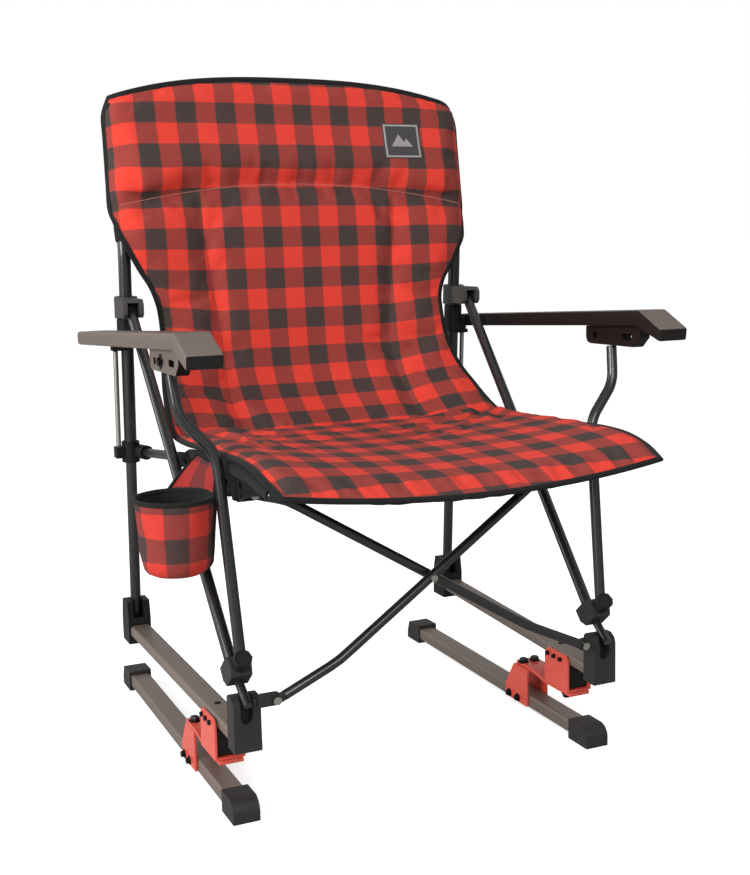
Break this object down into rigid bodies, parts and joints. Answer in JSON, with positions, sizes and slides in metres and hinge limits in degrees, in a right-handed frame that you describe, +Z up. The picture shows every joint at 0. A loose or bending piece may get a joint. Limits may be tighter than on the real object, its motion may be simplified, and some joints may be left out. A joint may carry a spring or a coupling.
{
  "type": "camp rocking chair",
  "caption": "Folding camp rocking chair with a padded check fabric sling, hard armrests, a cup holder and steel side frames that rock on leaf springs.",
  "frame": {"origin": "on the floor, at the middle of the chair's overall width and depth with the cup holder counted; the side frames' own middle plane is at x = 0.01425 m", "axes": "+Z up, -Y the way the sitter faces, +X the sitter's left"},
  "size_m": [0.6844, 0.706, 0.9295],
  "materials": {
    "taupe_steel": "satin metallic taupe paint",
    "red_steel": "gloss red powder coat",
    "black_steel": "gloss black powder coat",
    "grey_plastic": "matt dark grey moulded plastic",
    "black_plastic": "satin black moulded plastic",
    "arm_plastic": "satin taupe moulded plastic",
    "bright_steel": "bare zinc-plated steel",
    "check_fabric": "padded woven polyester in a red and charcoal buffalo check"
  },
  "bodies": {
    "base_right": {"base_rail_right": "taupe_steel", "base_front_cap_right": "grey_plastic", "base_rear_cap_right": "grey_plastic", "saddle_bracket_right": "red_steel", "leaf_spring_right": "red_steel"},
    "frame_right": {"cradle_bracket_right": "red_steel", "lower_rail_right": "taupe_steel", "front_boot_right": "grey_plastic", "rear_boot_right": "black_plastic", "inner_post_right": "black_steel"},
    "brace_front": {"brace_bar_front": "black_steel", "crossing_rivet": "bright_steel", "lower_brace_rivet_right": "bright_steel", "upper_brace_rivet_left": "bright_steel"},
    "brace_rear": {"brace_bar_rear": "black_steel", "lower_brace_rivet_left": "bright_steel", "upper_brace_rivet_right": "bright_steel"},
    "upper_left": {"back_post_left": "black_steel", "rear_slider_left": "black_plastic", "upper_hub_left": "grey_plastic", "diagonal_leg_left": "black_steel", "arm_clamp_left": "black_plastic", "arm_strut_left": "bright_steel", "armrest_left": "arm_plastic", "arm_bracket_left": "arm_plastic", "arm_post_left": "black_steel", "front_hub_left": "grey_plastic", "post_clamp_left": "black_plastic", "foot_plug_left": "black_steel", "seat_rail_left": "black_steel", "front_seat_bracket_left": "black_plastic", "rear_seat_bracket_left": "black_plastic"},
    "upper_right": {"back_post_right": "black_steel", "rear_slider_right": "black_plastic", "upper_hub_right": "grey_plastic", "diagonal_leg_right": "black_steel", "arm_clamp_right": "black_plastic", "arm_strut_right": "bright_steel", "armrest_right": "arm_plastic", "arm_bracket_right": "arm_plastic", "arm_post_right": "black_steel", "front_hub_right": "grey_plastic", "post_clamp_right": "black_plastic", "foot_plug_right": "black_steel", "seat_rail_right": "black_steel", "front_seat_bracket_right": "black_plastic", "rear_seat_bracket_right": "black_plastic", "back_fabric": "check_fabric", "seat_fabric": "check_fabric", "cup_holder": "check_fabric"},
    "frame_left": {"cradle_bracket_left": "red_steel", "lower_rail_left": "taupe_steel", "front_boot_left": "grey_plastic", "rear_boot_left": "black_plastic", "inner_post_left": "black_steel"},
    "base_left": {"base_rail_left": "taupe_steel", "base_front_cap_left": "grey_plastic", "base_rear_cap_left": "grey_plastic", "saddle_bracket_left": "red_steel", "leaf_spring_left": "red_steel"}
  },
  "joints": [
    {"name": "rock", "type": "hinge", "parent": "base_right", "child": "frame_right", "pos_m": [0.01425, -0.0715, 0.064], "axis": [1, 0, 0], "range_deg": [-7, 8], "stiffness_Nm_per_rad": 620, "deforming": ["leaf_spring_right"]},
    {"name": "fold", "type": "hinge", "parent": "frame_right", "child": "brace_front", "pos_m": [-0.20275, -0.225, 0.157], "axis": [0, -0.998, -0.0628], "range_deg": [0, 45], "deforming": ["seat_fabric", "back_fabric"]},
    {"name": "brace_crossing", "type": "hinge", "parent": "brace_front", "child": "brace_rear", "pos_m": [0.01425, -0.196, 0.2758], "axis": [0, -0.998, -0.0628], "range_deg": [-90, 0]},
    {"name": "upper_left_pivot", "type": "hinge", "parent": "brace_front", "child": "upper_left", "pos_m": [0.23125, -0.167, 0.3946], "axis": [0, -0.998, -0.0628], "range_deg": [-45, 0]},
    {"name": "upper_right_pivot", "type": "hinge", "parent": "brace_rear", "child": "upper_right", "pos_m": [-0.20275, -0.167, 0.3946], "axis": [0, -0.998, -0.0628], "range_deg": [0, 45]},
    {"name": "lower_left_pivot", "type": "hinge", "parent": "brace_rear", "child": "frame_left", "pos_m": [0.23125, -0.225, 0.157], "axis": [0, -0.998, -0.0628], "range_deg": [0, 45]},
    {"name": "rock_left", "type": "hinge", "parent": "frame_left", "child": "base_left", "pos_m": [0.01425, -0.0715, 0.064], "axis": [1, 0, 0], "range_deg": [-8, 7], "deforming": ["leaf_spring_left"]}
  ],
  "couplings": [
    {"joint": "brace_crossing", "follows": "fold", "ratio": -2},
    {"joint": "upper_left_pivot", "follows": "fold", "ratio": -1},
    {"joint": "upper_right_pivot", "follows": "fold", "ratio": 1},
    {"joint": "lower_left_pivot", "follows": "fold", "ratio": 1},
    {"joint": "rock_left", "follows": "rock", "ratio": -1}
  ]
}
